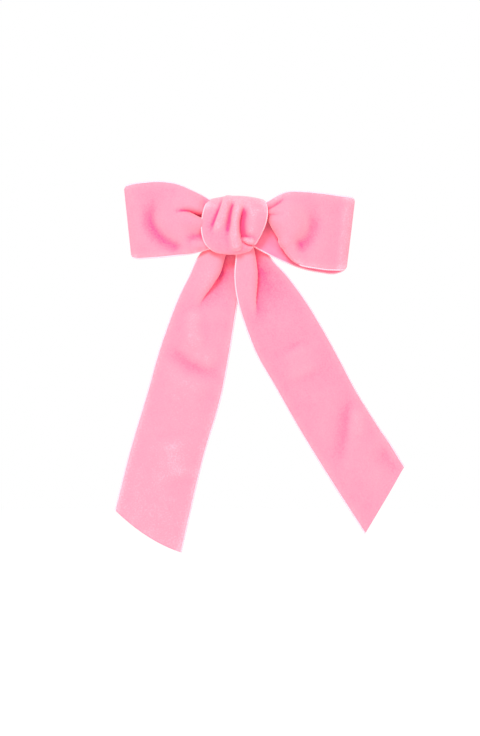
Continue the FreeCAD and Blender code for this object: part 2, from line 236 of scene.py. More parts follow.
# %% Folds
def relief(x, z, fold, samples=48):
    """How far one fold lifts the cloth at (x, z). fold is (line, height, left, right, fades)."""
    line, height, left, right, (head, foot) = fold
    path = through(line, np.linspace(0, 1, samples))
    start, step = path[:-1], np.diff(path, axis=0)
    dx = x.ravel()[:, None] - start[None, :, 0]
    dz = z.ravel()[:, None] - start[None, :, 1]
    along = np.clip((dx * step[:, 0] + dz * step[:, 1]) / (step**2).sum(1), 0, 1)
    off_x, off_z = dx - along * step[:, 0], dz - along * step[:, 1]
    distance = np.hypot(off_x, off_z)
    nearest = distance.argmin(1)
    row = np.arange(len(nearest))
    side = step[nearest, 0] * off_z[row, nearest] - step[nearest, 1] * off_x[row, nearest]
    share = (nearest + along[row, nearest]) / len(step)
    spread = np.where(side > 0, left, right)
    lift = height * np.exp(-(distance[row, nearest] / spread) ** 2)
    if head:
        lift = lift * smooth_step(share / head)
    if foot:
        lift = lift * smooth_step((1 - share) / foot)
    return lift.reshape(x.shape)


def sheet_normals(grid):
    """Which way each spot of a strip faces."""
    along = np.gradient(grid, axis=0)
    across = np.gradient(grid, axis=1)
    normal = np.cross(along, across)
    return normal / np.maximum(np.linalg.norm(normal, axis=2, keepdims=True), 1e-9)


def folded(grid, folds, facing=None):
    """The strip with its folds, on the stretch of it where facing is 1."""
    lift = sum(relief(grid[..., 0], grid[..., 2], fold) for fold in folds)
    if facing is not None:
        lift = lift * facing[:, None]
    return grid + sheet_normals(grid) * lift[..., None]

# %% [markdown]
# ## Hollows, for the `fold` value
# The velvet material paints shade into the hollows of the cloth and a highlight onto its ridges,
# so it wants to know where each is. `hollow` compares each spot with the smoothed cloth around it:
# what lies below is a hollow. It is measured over two reaches in millimetres, so both a thin
# crease and a broad dent count, and two shares say how much a millimetre of each changes `fold`,
# the value that holds this painted shade.

# %% Hollows
# How much painted shade a millimetre of hollow gives, over a fine and a broad reach.
FINE_REACH, FINE_SHARE = 1.1, 0.75
BROAD_REACH, BROAD_SHARE = 4.5, 0.30


def blurred(values, axis, spread):
    """Values smoothed along one axis of a grid, spread samples wide."""
    reach = int(3 * spread)
    weights = np.exp(-0.5 * (np.arange(-reach, reach + 1) / spread) ** 2)
    pad = [(0, 0)] * values.ndim
    pad[axis] = (reach, reach)
    padded = np.pad(values, pad, mode="edge")
    moved = np.moveaxis(padded, axis, 0)
    count = values.shape[axis]
    total = sum(w * moved[k:k + count] for k, w in enumerate(weights / weights.sum()))
    return np.moveaxis(total, 0, axis)


def hollow(grid, normals, reach_mm):
    """How far, in mm, each spot lies below the cloth around it: ridges come out negative."""
    row_step = np.linalg.norm(np.diff(grid, axis=0), axis=2).mean()
    column_step = np.linalg.norm(np.diff(grid, axis=1), axis=2).mean()
    around = blurred(blurred(grid, 0, reach_mm / row_step), 1, reach_mm / column_step)
    return ((around - grid) * normals).sum(2)

# %% [markdown]
# ## From numbers to an object
# Blender makes a mesh from a list of vertices and a list of faces. The materials go into slots, and
# each face says which slot it uses. The UV map and the `fold` value travel with the mesh.

# %% Mesh objects
def make_object(name, vertices, faces, materials, face_slots=None, uvs=None, fold=None):
    """A smooth-shaded mesh object. Vertices are in millimetres, uvs per vertex in metres."""
    mesh = bpy.data.meshes.new(name)
    mesh.from_pydata((np.asarray(vertices) * MM).tolist(), [], faces)
    for material in materials:
        mesh.materials.append(material)
    if face_slots is not None:
        mesh.polygons.foreach_set("material_index", face_slots)
    if uvs is not None:
        layer = mesh.uv_layers.new(name="ribbon")
        corner = np.zeros(len(mesh.loops), dtype=np.int32)
        mesh.loops.foreach_get("vertex_index", corner)
        layer.data.foreach_set("uv", np.asarray(uvs, dtype=np.float32)[corner].ravel())
    # fold holds the velvet's painted shade and highlight, one value a vertex.
    if fold is not None:
        layer = mesh.attributes.new("fold", "FLOAT", "POINT")
        layer.data.foreach_set("value", np.asarray(fold, np.float32))
    mesh.polygons.foreach_set("use_smooth", [True] * len(mesh.polygons))
    mesh.validate()
    mesh.update()
    piece = bpy.data.objects.new(name, mesh)
    bpy.context.scene.collection.objects.link(piece)
    return piece

# %% [markdown]
# ## The velvet as a closed sheet
# `ribbon_mesh` gives the strip its thickness: a pile face, a satin face and the rims between, as
# one closed mesh about a millimetre thick. Near the two edges the pile gets shorter and rounds off,
# so the selvedge shows beside it. A band along each edge is painted paler there, a painted sheen
# where velvet catches light at its rims. The first three values below are shares of the
# thickness, the next three are lengths in millimetres, and the last is how much paler the painted
# sheen makes the rim.

# %% Velvet mesh
RIM_HEIGHT = 0.2
FRONT_ROUND = 0.4
BACK_ROUND = 0.2
RIBBON_THICK = 0.95
EDGE_ROUND = 0.7
# The painted sheen along each edge: its reach in from the rim in mm, and how much paler it makes fold.
RIM_SHEEN_REACH = 2.4
RIM_PAINTED_SHEEN = 0.2


def ribbon_mesh(name, grid, normals, painted_lightness, glint):
    """The closed mesh of a ribbon from the grid of its middle surface."""
    rows, columns = grid.shape[:2]
    along = arc_lengths(grid[:, columns // 2])
    steps = np.linalg.norm(np.diff(grid, axis=1, prepend=grid[:, :1]), axis=2)
    across = np.cumsum(steps, axis=1)
    to_rim = np.minimum(across, across[:, -1:] - across)
    rounding = np.sqrt(1 - (1 - np.clip(to_rim / EDGE_ROUND, 0, 1)) ** 2)
    pile = RIBBON_THICK * (RIM_HEIGHT + FRONT_ROUND * rounding)
    weave = RIBBON_THICK * (RIM_HEIGHT + BACK_ROUND * rounding)
    front = grid + normals * pile[..., None]
    back = grid - normals * weave[..., None]
    vertices = np.concatenate([front.reshape(-1, 3), back.reshape(-1, 3)])
    uv = np.stack([across, np.broadcast_to(along[:, None], across.shape)], axis=2)
    uv = uv.reshape(-1, 2) * MM

    index = np.arange(rows * columns).reshape(rows, columns)
    shift = rows * columns
    a, b, c, d = index[:-1, :-1], index[1:, :-1], index[1:, 1:], index[:-1, 1:]
    faces_front = np.stack([a, b, c, d], axis=-1).reshape(-1, 4)
    faces_back = faces_front[:, ::-1] + shift
    rims = []
    for line, turned in ((index[:, 0], False), (index[:, -1], True), (index[0], True),
                         (index[-1], False)):
        quads = np.stack([line[:-1], line[1:], line[1:] + shift, line[:-1] + shift], axis=-1)
        rims.append(quads[:, ::-1] if turned else quads)
    faces = np.concatenate([faces_front, faces_back, *rims])
    slots = [0] * len(faces_front) + [1] * (len(faces) - len(faces_front))

    # Painted light in fold: painted shade in hollows, a painted highlight on ridges up to glint, a
    # painted sheen along the rims, and a painted lightness that runs from end to end. The back face
    # has its hollows turned the other way.
    depth = (FINE_SHARE * hollow(grid, normals, FINE_REACH)
             + BROAD_SHARE * hollow(grid, normals, BROAD_REACH))
    level = RIM_PAINTED_SHEEN * np.exp(-(to_rim / RIM_SHEEN_REACH) ** 2) + np.linspace(*painted_lightness, rows)[:, None]
    fold = np.concatenate([(level - np.maximum(depth, -glint)).ravel(),
                           (level + np.minimum(depth, glint)).ravel()])
    return make_object(name, vertices, faces.tolist(), [velvet, satin], slots,
                       np.concatenate([uv, uv]), np.clip(fold, 0, 1))

# %% [markdown]
# ## The selvedge
# The edge of velvet ribbon is a narrow tape woven without pile. Its rim is scalloped, because the
# weft turns back there in tiny loops about a millimetre apart. A bump in the material couldn't
# change the outline, so the tape is a mesh: a small ring of points swept along the edge, tucked a
# little way into the velvet.

# %% Selvedge mesh
TAPE_THICK = 0.42
TAPE_TUCK = 0.7
TAPE_OUT = 0.5
PICOT_OUT = 0.3
PICOT_PITCH = 1.1
PICOT_SAMPLES = 6
TAPE_AROUND_MM = 1.5
TAPE_SECTION = ((-TAPE_TUCK, 0.7), (0.0, 1.0), (0.7, 0.9), (1.0, 0.0), (0.7, -0.9), (0.0, -1.0),
                (-TAPE_TUCK, -0.7))


def selvedge_mesh(name, rim, inner, normal):
    """A woven tape with a scalloped rim along one edge of a ribbon."""
    length = arc_lengths(rim)
    count = int(length[-1] / PICOT_PITCH * PICOT_SAMPLES)
    at = np.linspace(0, length[-1], count)

    def read(values):
        return np.stack([np.interp(at, length, values[:, k]) for k in range(3)], axis=1)

    centre, outward, up = read(rim), read(rim - inner), read(normal)
    outward /= np.linalg.norm(outward, axis=1, keepdims=True)
    up /= np.linalg.norm(up, axis=1, keepdims=True)
    scallop = np.abs(np.cos(np.pi * at / PICOT_PITCH))
    reach = TAPE_OUT + PICOT_OUT * scallop
    thick = TAPE_THICK / 2 * (0.8 + 0.2 * scallop)
    rings = []
    for out, height in TAPE_SECTION:
        place = out * reach if out > 0 else np.full(count, out)
        rings.append(centre + outward * place[:, None] + up * (thick * height)[:, None])
    points = np.stack(rings, axis=1)
    corners = len(TAPE_SECTION)
    index = np.arange(count * corners).reshape(count, corners)
    following = np.roll(index, -1, axis=1)
    quads = np.stack([index[:-1], following[:-1], following[1:], index[1:]], axis=-1)
    faces = [*quads.reshape(-1, 4).tolist(), index[0].tolist()[::-1], index[-1].tolist()]
    around = np.broadcast_to(np.linspace(0, TAPE_AROUND_MM, corners), (count, corners))
    along = np.broadcast_to(at[:, None], (count, corners))
    uv = np.stack([around, along], axis=2).reshape(-1, 2) * MM
    return make_object(name, points.reshape(-1, 3), faces, [selvedge], None, uv)

# %% [markdown]
# ## Finishing a length of ribbon
# Every length is the same 38 mm velvet ribbon. `finished_ribbon` makes its cloth and two selvedges,
# hangs them on the clip's body, hides the CAD solids they stand for and prints the cloth's width
# and length.


def finished_ribbon(name, nodes, grid,
                    painted_lightness=(0.5, 0.5), glint=0.18):
    """Makes the cloth and its two selvedges, hangs them on the clip and hides their CAD solids.

    The lightness pair paints the level cloth darker or paler at its two ends: below 0.5 it is
    painted darker, as where tightly pulled cloth has its pile leaning away from the light, and
    above 0.5 it is painted paler. glint is how much paler the painted highlight on a ridge can get.
    """
    normals = sheet_normals(grid)
    cloth = ribbon_mesh(name, grid, normals, painted_lightness, glint)
    edges = [
        selvedge_mesh(name + "_selvedge_a", grid[:, 0], grid[:, 2], normals[:, 0]),
        selvedge_mesh(name + "_selvedge_b", grid[:, -1], grid[:, -3], normals[:, -1]),
    ]
    for piece in (cloth, *edges):
        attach(piece, "clip")
    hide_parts(*nodes)
    widths = np.linalg.norm(np.diff(grid, axis=1), axis=2).sum(1)
    print(name, "cloth width mm", widths.min().round(1), "to", widths.max().round(1),
          "length", arc_lengths(grid[:, grid.shape[1] // 2])[-1].round(1))

# %% [markdown]
# ## A ribbon from stations
# A station is one line across the ribbon: the place of its first edge, the place of its second
# edge, and how far the cloth between them swells outward. `between_edges` makes the strip that
# passes smoothly through a list of stations. A cloth simulation could tie the bow instead, but it
# would be slow, and its folds would fall where they liked. Stations put each bend where we want
# it, and their order decides which face is the front. An edge of real ribbon often rolls under
# where it is squeezed, so the first edge can be rolled round a small radius, with a few
# millimetres of cloth hidden in the roll.

# %% Strips through stations
ROLL_RADIUS = 1.7
ROLL_LENGTH = 5.2
RIM_CROWDING = 0.06


def finer_at_rims(count):
    """Shares across a ribbon, closer together near its two edges."""
    even = np.linspace(0, 1, count)
    return even - RIM_CROWDING * np.sin(2 * np.pi * even)


def between_edges(stations, rows, columns, roll=None):
    """The strip through stations of (x, y, z, x, y, z, swell), in millimetres.

    roll gives, at shares of the length, how much of the first edge is rolled under.
    """
    s = np.linspace(0, 1, rows)
    line = through(stations, s)
    t = finer_at_rims(columns)[None, :, None]
    start, end = line[:, None, 0:3], line[:, None, 3:6]
    flat = start * (1 - t) + end * t
    normal = sheet_normals(flat)
    if roll is not None:
        amount = np.interp(s, *np.transpose(roll))[:, None, None] + 1e-4
        radius, hidden = ROLL_RADIUS * amount, ROLL_LENGTH * amount
        width = np.linalg.norm(end - start, axis=2, keepdims=True)
        reach = (width + hidden - radius) * (1 - t)
        angle = np.maximum(reach - width + radius, 0) / radius
        reach = np.minimum(reach, width - radius) + radius * np.sin(angle)
        flat = end + (start - end) * reach / width - normal * radius * (1 - np.cos(angle))
        t = 1 - reach / width
    swell = line[:, None, 6:7] * (1 - (2 * t - 1) ** 2)
    return flat + normal * swell

# %% [markdown]
# ## The left loop
# A loop leaves the knot in front, runs out, turns in a tight fold and comes back behind. Close to
# the knot it is squeezed, so it swells just outside and has creases that run from the knot. The
# left loop has one deep crease and a curved dent round it. Only the front gets these folds:
# `front_share` lets them fade out just before the folded end.

# %% Left loop
LOOP_ROWS, LOOP_COLUMNS = 190, 88


def front_share(rows, last, soft=0.06):
    """1 along the front of a strip, falling softly to 0 at the share of its length called last."""
    return smooth_step((last - np.linspace(0, 1, rows)) / soft)


left_loop_stations = [
    (-7.0, -18.2, 8.5, -6.5, -18.2, -8.0, 0.5),
    (-12.5, -18.7, 12.0, -11.5, -18.7, -11.6, 1.0),
    (-17.0, -19.0, 14.5, -15.5, -19.0, -13.2, 1.9),
    (-22.5, -19.6, 17.2, -20.5, -19.4, -14.6, 3.0),
    (-29.5, -19.4, 20.2, -28.0, -19.2, -15.8, 2.6),
    (-38.0, -17.8, 21.7, -36.5, -17.8, -16.6, 1.2),
    (-47.0, -15.2, 21.4, -45.0, -15.2, -17.1, 0.6),
    (-54.3, -12.6, 20.4, -50.8, -12.6, -17.2, 0.3),
    (-56.6, -11.6, 19.6, -52.9, -11.6, -16.7, 0.1),
    (-57.2, -10.8, 18.8, -53.5, -10.8, -16.1, 0.0),
    (-56.4, -9.9, 19.2, -52.7, -9.9, -16.5, 0.0),
    (-53.5, -8.9, 19.6, -50.2, -8.9, -16.9, 0.0),
    (-47.0, -7.8, 19.6, -45.0, -7.8, -16.6, 0.3),
    (-37.0, -7.6, 19.2, -36.0, -7.6, -15.8, 0.4),
    (-29.0, -8.8, 17.2, -28.0, -8.8, -14.6, 0.4),
    (-21.5, -10.6, 14.2, -20.0, -10.6, -12.8, 0.4),
    (-15.0, -12.4, 11.6, -14.5, -12.4, -11.0, 0.2),
    (-8.0, -13.4, 8.5, -8.0, -13.4, -8.5, 0.0),
]
left_loop_folds = [
    (((-12, 2.0), (-18, 4.2), (-24.5, 6.4), (-33, 6.0)), -5.0, 1.2, 1.7, (0, 0.8)),
    (((-16, 9.6), (-24, 12.0), (-33, 13.5)), 1.2, 4.5, 3.6, (0.2, 0.5)),
    (((-15, -0.8), (-23, 1.4), (-31, 2.0)), 1.4, 4.0, 5.0, (0.2, 0.4)),
    (((-36, 15.5), (-42.5, 10.0), (-44.0, 2.0), (-39.5, -6.0), (-32, -11.0), (-24, -14.0)), -1.9,
     4.0, 4.6, (0.45, 0.2)),
    (((-15, -4.5), (-22, -6.5), (-29, -7.5)), -1.3, 3.2, 3.6, (0, 0.6)),
    (((-16, -10.5), (-24, -12.0)), 1.2, 2.4, 2.4, (0, 0.6)),
]
left_loop_grid = between_edges(left_loop_stations, LOOP_ROWS, LOOP_COLUMNS)
left_loop_grid = folded(left_loop_grid, left_loop_folds, front_share(LOOP_ROWS, 0.48))
# Its level cloth is painted a little darker where it leaves the knot.
finished_ribbon("left_loop_velvet", ["loop_left"], left_loop_grid,
                painted_lightness=(0.40, 0.50))

# %% [markdown]
# ## The right loop
# This loop is made the same way. Its lower edge is rolled under near the knot, which lets a corner
# of its back layer show below. Its first edge is therefore the lower one, since that is the edge
# that can roll. The roll is full at the knot and has opened out a third of the way along.

# %% Right loop
right_loop_stations = [
    (7.5, -15.5, -2.0, 7.0, -18.0, 6.5, 0.8),
    (12.5, -16.4, 2.4, 12.0, -18.6, 9.2, 1.6),
    (17.4, -17.6, 1.2, 16.4, -18.9, 11.0, 2.2),
    (20.6, -18.2, -3.6, 20.6, -19.4, 13.4, 3.0),
    (23.8, -18.4, -9.0, 24.6, -19.2, 15.5, 3.2),
    (27.2, -18.0, -15.4, 29.2, -18.6, 16.5, 2.8),
    (33.0, -17.0, -20.4, 36.8, -17.4, 16.4, 1.6),
    (41.0, -15.6, -22.2, 45.0, -15.6, 15.7, 0.8),
    (50.5, -13.0, -23.2, 54.5, -13.0, 14.5, 0.4),
    (56.4, -11.4, -22.9, 60.8, -11.4, 13.5, 0.2),
    (57.6, -10.3, -22.3, 61.9, -10.3, 12.8, 0.0),
    (56.6, -9.3, -23.2, 60.9, -9.3, 13.0, 0.0),
    (52.6, -8.2, -24.8, 56.5, -8.2, 13.6, 0.0),
    (44.0, -8.0, -24.2, 47.5, -7.4, 14.2, 0.2),
    (34.5, -10.2, -22.2, 37.0, -8.4, 14.6, 0.2),
    (27.0, -13.2, -19.6, 29.0, -9.8, 13.8, 0.2),
    (20.5, -15.4, -16.8, 22.0, -11.6, 11.0, 0.2),
    (14.5, -16.6, -13.8, 15.5, -13.0, 7.6, 0.0),
    (8.0, -16.8, -10.2, 8.0, -14.0, 4.0, 0.0),
]
right_loop_folds = [
    (((28, 3), (32, -1)), 1.8, 7.5, 7.5, (0, 0)),
    (((36, 11), (39.5, 5), (39.5, -2), (36, -9), (29, -12.0)), -1.7, 5.0, 4.6, (0.5, 0.2)),
    (((14, 7.0), (20, 9.6), (25, 12.5), (28, 15.5)), -2.2, 1.5, 2.4, (0.0, 0.6)),
    (((14, 3.6), (21, 4.6), (27, 3.6)), -1.6, 1.6, 2.0, (0, 0.6)),
    (((22, -8), (26, -13)), 0.8, 4.0, 3.0, (0.3, 0.4)),
]
right_loop_roll = [(0.0, 1.0), (0.22, 1.0), (0.31, 0.0), (1.0, 0.0)]
right_loop_grid = between_edges(right_loop_stations, LOOP_ROWS, LOOP_COLUMNS, right_loop_roll)
right_loop_grid = folded(right_loop_grid, right_loop_folds, front_share(LOOP_ROWS, 0.50))
# Its level cloth is painted darker where it leaves the knot and much paler where it comes back.
finished_ribbon("right_loop_velvet", ["loop_right"], right_loop_grid,
                painted_lightness=(0.40, 0.76))

# %% [markdown]
# ## A pleat that opens
# A tail is gathered where it leaves the knot: one soft pleat lies over the rest, and it opens out
# until the ribbon hangs flat. `pleated` draws the section across the ribbon at one height, as a
# line that runs to the fold, back under it and on to the far edge, so the cloth keeps nearly its
# full width while it covers less. `tail_strip` does this at every height and lets the end of the
# tail bulge a little, as a slanted cut in soft ribbon does.

# %% Pleats
LEAST_PLEAT = 0.6


def pleated(width, fold, over, height, t):
    """Across and outward places, in millimetres, of a section with one pleat."""
    turn = fold * width
    back = turn - over
    points = [
        (0.0, 0.0), (turn * 0.45, height * 0.9), (turn * 0.88, height), (turn, height * 0.35),
        (back + over * 0.55, -height * 0.25), (back, -height * 1.0),
        (back + (width - back) * 0.3, -height * 1.5), (back + (width - back) * 0.7, -height * 0.8),
        (width, 0.0),
    ]
    return through(points, t)


def tail_strip(stations, pleats, rows, columns, bulge=0.0):
    """A tail from its stations, with pleats of (share down it, fold, over, height).

    fold is the share of the width where the pleat turns, over how many mm it laps over the rest.
    """
    s = np.linspace(0, 1, rows)
    line = through(stations, s)
    t = finer_at_rims(columns)
    pleats = np.asarray(pleats, float)
    fold, over, height = (np.interp(s, pleats[:, 0], pleats[:, k]) for k in (1, 2, 3))
    flatness = smooth_step(s / pleats[-1, 0])
    grid = np.zeros((rows, columns, 3))
    for i in range(rows):
        start, end = line[i, 0:3], line[i, 3:6]
        width = np.linalg.norm(end - start)
        section = pleated(width, fold[i], max(over[i], LEAST_PLEAT), height[i], t)
        keep = 1 - flatness[i] ** 3
        place = (section[:, 0] / width) * keep + t * (1 - keep)
        out = section[:, 1] * keep + line[i, 6] * (1 - (2 * t - 1) ** 2)
        grid[i] = start + place[:, None] * (end - start)
        grid[i, :, 1] -= out
        grid[i, :, 2] -= bulge * s[i] ** 8 * (1 - (2 * t - 1) ** 2)
    return grid


# %% [markdown]
# ## The left tail
# The left tail hangs almost straight from the knot, with its pleat on the outer side. A dent
# crosses it below the pleat, where the cloth that was gathered has spread out again.

# %% Left tail
TAIL_ROWS, TAIL_COLUMNS = 210, 84
LEFT_END_BULGE = 2.6

left_tail_stations = [
    (-10.0, -16.0, -8.5, 3.4, -14.6, -8.5, 0.0),
    (-17.2, -16.4, -15.0, 3.2, -14.6, -15.0, 0.0),
    (-23.3, -16.0, -26.9, 2.8, -14.6, -27.4, 0.0),
    (-28.4, -15.2, -36.9, 1.0, -14.4, -39.3, 0.2),
    (-34.4, -14.0, -52.2, -1.2, -13.6, -53.5, 0.8),
    (-39.6, -12.8, -67.5, -3.6, -12.4, -68.5, 1.2),
    (-43.9, -11.8, -83.0, -6.8, -11.4, -86.0, 1.4),
    (-53.3, -10.4, -114.5, -16.8, -10.2, -120.5, 1.6),
    (-62.0, -9.6, -148.6, -28.4, -9.4, -170.1, 1.2),
]
left_tail_pleats = [
    (0.0, 0.58, 5.0, 1.2), (0.05, 0.61, 5.5, 1.7), (0.12, 0.575, 5.0, 2.5),
    (0.17, 0.50, 4.0, 2.1), (0.22, 0.41, 2.4, 1.5), (0.28, 0.34, 0.8, 0.6),
]
left_tail_folds = [
    (((-38, -59), (-31, -67), (-22, -74), (-14, -76.5), (-8, -72.5), (-5, -62)), -1.7, 4.8, 6.0,
     (0.4, 0.5)),
    (((-19.5, -42), (-21.5, -54), (-19, -66)), 0.8, 4.0, 4.5, (0.3, 0.3)),
    (((-3, -79), (-12, -88), (-20, -100)), -0.8, 7.0, 6.0, (0.2, 0.5)),
    (((-33, -108), (-28, -135)), 0.8, 9.0, 9.0, (0.3, 0.3)),
]
left_tail_grid = tail_strip(left_tail_stations, left_tail_pleats, TAIL_ROWS, TAIL_COLUMNS,
                            LEFT_END_BULGE)
left_tail_grid = folded(left_tail_grid, left_tail_folds)
# Its level cloth is painted paler toward its end, as the light falls brighter lower down.
finished_ribbon("left_tail_velvet", ["tail_left"], left_tail_grid,
                (0.5, 0.7))

# %% [markdown]
# ## The right tail
# The right tail leaves the knot in front of the left one and swings further out. Its pleat is
# narrower and nearer its inner edge, so the two tails just cross at the top. A soft fold runs down
# near its end.

# %% Right tail
right_tail_stations = [
    (1.6, -18.4, -8.5, 13.0, -14.0, -8.5, 0.0),
    (1.2, -18.8, -15.0, 17.0, -13.8, -15.8, 0.0),
    (0.3, -18.4, -27.0, 26.6, -14.0, -26.6, 0.0),
    (2.0, -17.4, -40.0, 36.6, -13.8, -40.2, 0.2),
    (5.8, -16.0, -52.4, 44.6, -13.8, -53.4, 0.8),
    (11.9, -14.4, -67.7, 53.3, -12.8, -69.0, 1.2),
    (20.8, -12.8, -83.2, 61.6, -11.8, -84.8, 1.5),
    (34.1, -11.2, -106.5, 72.6, -10.4, -102.6, 1.6),
    (53.3, -9.8, -137.5, 81.4, -9.4, -115.6, 1.4),
    (67.9, -9.2, -160.0, 87.9, -8.8, -126.1, 1.0),
]
right_tail_pleats = [
    (0.0, 0.60, 4.6, 1.4), (0.04, 0.56, 5.0, 2.0), (0.12, 0.44, 4.8, 2.4),
    (0.20, 0.30, 3.6, 1.8), (0.27, 0.19, 1.8, 1.1), (0.33, 0.14, 0.6, 0.4),
]
right_tail_folds = [
    (((57.5, -84), (57.5, -98), (55.5, -116), (53.0, -130)), -0.9, 3.4, 6.0, (0.4, 0.4)),
    (((63, -92), (64, -112)), 0.6, 5.0, 5.0, (0.4, 0.4)),
    (((78, -121), (82, -126)), -1.2, 6.0, 6.0, (0, 0)),
    (((30, -62), (38, -80)), 0.7, 9.0, 9.0, (0.3, 0.3)),
]
right_tail_grid = tail_strip(right_tail_stations, right_tail_pleats, TAIL_ROWS, TAIL_COLUMNS)
right_tail_grid = folded(right_tail_grid, right_tail_folds)
# Its level cloth is painted a little paler toward its end, as the light falls brighter lower down.
finished_ribbon("right_tail_velvet", ["tail_right"], right_tail_grid,
                (0.45, 0.56))

# %% [markdown]
# ## The knot
# The ribbon crosses over the middle, is pulled down to a pinch at the lower right and goes round
# behind. All its folds run to that pinch: two ridges with a hollow between, then the deepest
# crease of the bow, then one smooth swelling up to the right edge. Behind, where the clip squeezes
# it, the same width of ribbon has less room, so it lies in six even gathers. This wrap stands for
# two CAD solids, since the core inside it can't be seen.

# %% Knot wrap
KNOT_ROWS, KNOT_COLUMNS = 190, 120
GATHERS = 6
GATHER_DEPTH = 0.028


def gathered(grid, count, depth, where):
    """The strip with even gathers across it, as deep as that share of its width."""
    t = np.linspace(0, 1, grid.shape[1])[None, :]
    width = np.linalg.norm(grid[:, -1] - grid[:, 0], axis=1)[:, None]
    lift = depth * width * np.cos(2 * np.pi * count * t) * where[:, None]
    return grid + sheet_normals(grid) * lift[..., None]


knot_stations = [
    (-12.3, -11.8, 11.4, 13.4, -11.8, 10.6, 0.8),
    (-12.8, -15.5, 12.4, 14.8, -15.5, 12.2, 1.9),
    (-13.8, -19.0, 11.4, 15.7, -19.0, 11.0, 2.0),
    (-15.1, -21.2, 9.2, 16.3, -21.2, 8.0, 2.0),
    (-16.4, -22.0, 4.4, 16.3, -22.0, 4.2, 2.3),
    (-17.0, -22.3, -1.0, 15.2, -22.3, -0.6, 2.4),
    (-16.4, -22.3, -6.4, 13.2, -22.2, -5.2, 2.4),
    (-14.4, -22.0, -11.0, 11.2, -22.0, -9.0, 2.2),
    (-10.5, -21.6, -14.2, 9.8, -21.8, -11.2, 1.6),
    (-4.0, -21.2, -15.5, 8.8, -21.2, -12.6, 0.8),
    (1.6, -20.2, -15.1, 7.8, -20.0, -13.2, 0.2),
    (2.0, -17.0, -13.4, 7.8, -16.8, -12.4, 0.0),
    (-3.0, -13.0, -12.4, 8.5, -13.0, -12.2, 0.0),
    (-9.5, -11.2, -8.8, 12.0, -11.2, -8.8, 0.2),
    (-12.3, -10.4, -2.0, 13.0, -10.4, -2.0, 0.2),
    (-12.3, -10.4, 4.5, 13.0, -10.4, 4.5, 0.2),
    (-12.0, -10.9, 9.0, 12.8, -10.9, 8.6, 0.2),
    (-11.6, -13.0, 10.8, 12.6, -13.0, 10.2, 0.2),
]
knot_folds = [
    (((-2.6, 15.6), (-5.2, 8.6), (-8.0, 0.8), (-11.0, -6.0)), 2.1, 2.6, 1.4, (0.25, 0.45)),
    (((-5.6, 13.5), (-8.2, 6.5), (-10.6, 0.5), (-12.8, -5.5)), -0.7, 1.2, 1.4, (0.2, 0.4)),
    (((-0.6, 12.0), (-1.8, 6.0), (-2.4, 0.0), (-3.6, -7.0)), -1.7, 1.7, 2.0, (0.2, 0.4)),
    (((3.4, 13.0), (1.2, 6.0), (0.2, -1.0), (0.4, -7.0), (1.8, -14.0)), 2.6, 1.6, 2.4,
     (0.25, 0.1)),
    (((5.2, 10.0), (3.2, 4.6), (2.5, 0.2), (2.8, -4.4), (3.8, -8.6)), -3.5, 2.9, 1.2,
     (0.35, 0.05)),
    (((9.6, 9.0), (9.4, 0.0), (7.2, -6.5)), 0.6, 4.4, 3.0, (0.2, 0.2)),
    (((3.8, -9.2), (6.6, -10.8), (9.4, -11.4)), -1.9, 0.8, 0.8, (0, 0)),
    (((4.0, -7.6), (6.8, -9.0), (9.8, -8.2)), 1.0, 0.9, 0.9, (0.2, 0.2)),
]
knot_front = front_share(KNOT_ROWS, 0.66)
knot_grid = between_edges(knot_stations, KNOT_ROWS, KNOT_COLUMNS)
knot_grid = folded(knot_grid, knot_folds, knot_front)
knot_grid = gathered(knot_grid, GATHERS, GATHER_DEPTH, 1 - knot_front)
# The tight knot is painted darker all over, with stronger painted highlights on its ridges.
finished_ribbon("knot_wrap_velvet", ["knot_wrap", "knot_core"], knot_grid,
                painted_lightness=(0.31, 0.31), glint=0.5)

# %% [markdown]
# ## Sewing thread
# Sewing thread is two or three plies twisted together, about half a millimetre thick here because
# it is strong button thread. Up close the eye sees the slanted plies, so a diagonal wave gives them
# both a shade and a little height. They repeat every 0.6 mm along the thread.

# %% Thread material
PLY_MM = 0.6


def make_thread():
    material, tree = new_material("sewing_thread_pink")
    place = add(tree, "UVMap", uv_map="ribbon").outputs["UV"]
    twist = add(tree, "TexWave", {"Vector": place, "Scale": per_wave(PLY_MM), "Distortion": 0.3},
                bands_direction="DIAGONAL")
    colour = add(tree, "ValToRGB", {"Fac": twist.outputs["Fac"]}, [(0.1, "d0607f"), (0.8, "ea8aa4")])
    rough = add(tree, "MapRange", {"Value": twist.outputs["Fac"], "To Min": 0.45, "To Max": 0.65})
    plies = add(tree, "Bump", {"Height": twist.outputs["Fac"], "Strength": 0.6,
                               "Distance": 0.08 * MM})
    shader = add(tree, "BsdfPrincipled", {
        "Base Color": colour.outputs["Color"], "Roughness": rough.outputs[0],
        "Normal": plies.outputs[0], "Sheen Weight": 0.2})
    add(tree, "OutputMaterial", {"Surface": shader.outputs[0]})
    return material


thread = make_thread()
print("thread nodes:", len(thread.node_tree.nodes))

# %% [markdown]
# ## The lashing
# Four turns of thread tie the knot to the clip. Each turn is a closed ring of cord. A bevelled
# curve could make it, but a mesh lets the twist's UV map follow the thread. Pulled tight round the
# plate and the knot, a turn is nearly a rectangle with round corners, and a superellipse draws
# that with one number: at 2 it is an ellipse, and the higher it is, the squarer.

# %% Lashing
LASHING_TURNS = 4
LASHING_PITCH = 3.0
THREAD_RADIUS = 0.25
THREAD_AROUND_MM = 1.2
SQUARENESS = 5.0


